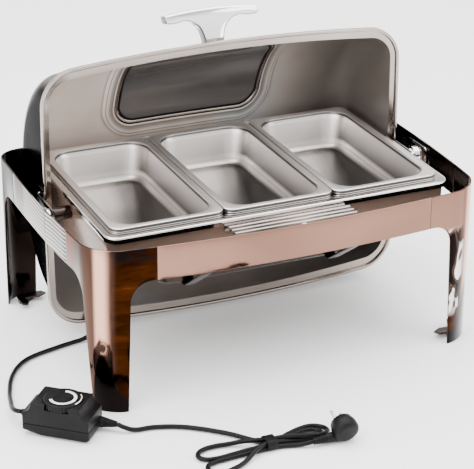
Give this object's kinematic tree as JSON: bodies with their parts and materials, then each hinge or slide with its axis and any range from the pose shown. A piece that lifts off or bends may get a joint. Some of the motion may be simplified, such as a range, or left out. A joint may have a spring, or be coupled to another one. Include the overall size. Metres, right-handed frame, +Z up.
{
  "type": "roll top chafer",
  "caption": "Roll top chafing dish: open sheet metal stand, water pan with food pans, electric heater with thermostat box, and a domed lid that swings back on side pivots.",
  "frame": {"origin": "on the floor under the middle of the stand", "axes": "+X to the right along the stand, +Y to the back where the open lid hangs, +Z up"},
  "size_m": [0.7504, 0.664, 0.4848],
  "materials": {
    "rose_gold_steel": "rose gold mirror polish",
    "satin_steel": "satin",
    "polished_steel": "polished",
    "dark_steel": "dark satin",
    "lid_steel": "brushed inside, mirror outside",
    "chrome": "polished",
    "cast_alloy": "as cast",
    "smoked_glass": "smoked",
    "black_rubber": "matt",
    "black_plastic": "fine texture",
    "black_sleeve": "satin",
    "brass": "plated"
  },
  "bodies": {
    "stand": {"front_rail": "rose_gold_steel", "rear_rail": "rose_gold_steel", "end_rail_left": "rose_gold_steel", "end_rail_right": "rose_gold_steel", "leg_front_left": "rose_gold_steel", "leg_front_right": "rose_gold_steel", "leg_rear_left": "rose_gold_steel", "leg_rear_right": "rose_gold_steel", "foot_clip_front_left": "dark_steel", "foot_clip_front_right": "dark_steel", "foot_clip_rear_left": "dark_steel", "foot_clip_rear_right": "dark_steel", "carrier_frame": "polished_steel", "front_support_plate": "polished_steel", "support_plate_screw": "chrome", "heating_plate": "cast_alloy", "heater_housing": "dark_steel", "heater_strap_left": "dark_steel", "heater_strap_right": "dark_steel", "housing_gland": "black_rubber", "pivot_bracket_left": "chrome", "pivot_bracket_right": "chrome", "pivot_bolt_left": "chrome", "pivot_bolt_right": "chrome", "spacer_tube_left": "dark_steel", "spacer_tube_right": "dark_steel", "control_box_base": "black_plastic", "control_box_cover": "black_plastic", "mains_gland": "black_rubber", "heater_lead_gland": "black_rubber", "heater_lead": "black_sleeve", "mains_lead": "black_sleeve", "cord_hank": "black_sleeve", "cable_tie": "black_rubber", "plug_body": "black_plastic", "plug_pin_live": "brass", "plug_pin_neutral": "brass"},
    "lid": {"lid_shell": "lid_steel", "window_gasket": "black_rubber", "window_glass": "smoked_glass", "handle": "chrome", "handle_screw_left": "chrome", "handle_screw_right": "chrome", "hinge_ear_left": "dark_steel", "hinge_ear_right": "dark_steel", "ear_rivet_lower_left": "chrome", "ear_rivet_upper_left": "chrome", "ear_rivet_lower_right": "chrome", "ear_rivet_upper_right": "chrome"},
    "water_pan": {"water_pan": "polished_steel"},
    "food_pan_left": {"food_pan_left": "satin_steel"},
    "food_pan_middle": {"food_pan_middle": "satin_steel"},
    "food_pan_right": {"food_pan_right": "satin_steel"},
    "thermostat_dial": {"thermostat_dial": "black_plastic"}
  },
  "joints": [
    {"name": "lid_pivot", "type": "hinge", "parent": "stand", "child": "lid", "pos_m": [0, 0, 0.23], "axis": [1, 0, 0], "range_deg": [0, 90]},
    {"name": "water_pan_lift", "type": "slide", "parent": "stand", "child": "water_pan", "axis": [0, 0, 1], "range_m": [0, 0.05]},
    {"name": "food_pan_left_lift", "type": "slide", "parent": "water_pan", "child": "food_pan_left", "axis": [0, 0, 1], "range_m": [0, 0.035]},
    {"name": "food_pan_middle_lift", "type": "slide", "parent": "water_pan", "child": "food_pan_middle", "axis": [0, 0, 1], "range_m": [0, 0.035]},
    {"name": "food_pan_right_lift", "type": "slide", "parent": "water_pan", "child": "food_pan_right", "axis": [0, 0, 1], "range_m": [0, 0.035]},
    {"name": "thermostat_turn", "type": "hinge", "parent": "stand", "child": "thermostat_dial", "pos_m": [-0.36744, -0.22902, 0.049], "axis": [0, 0, -1], "range_deg": [0, 270]}
  ]
}
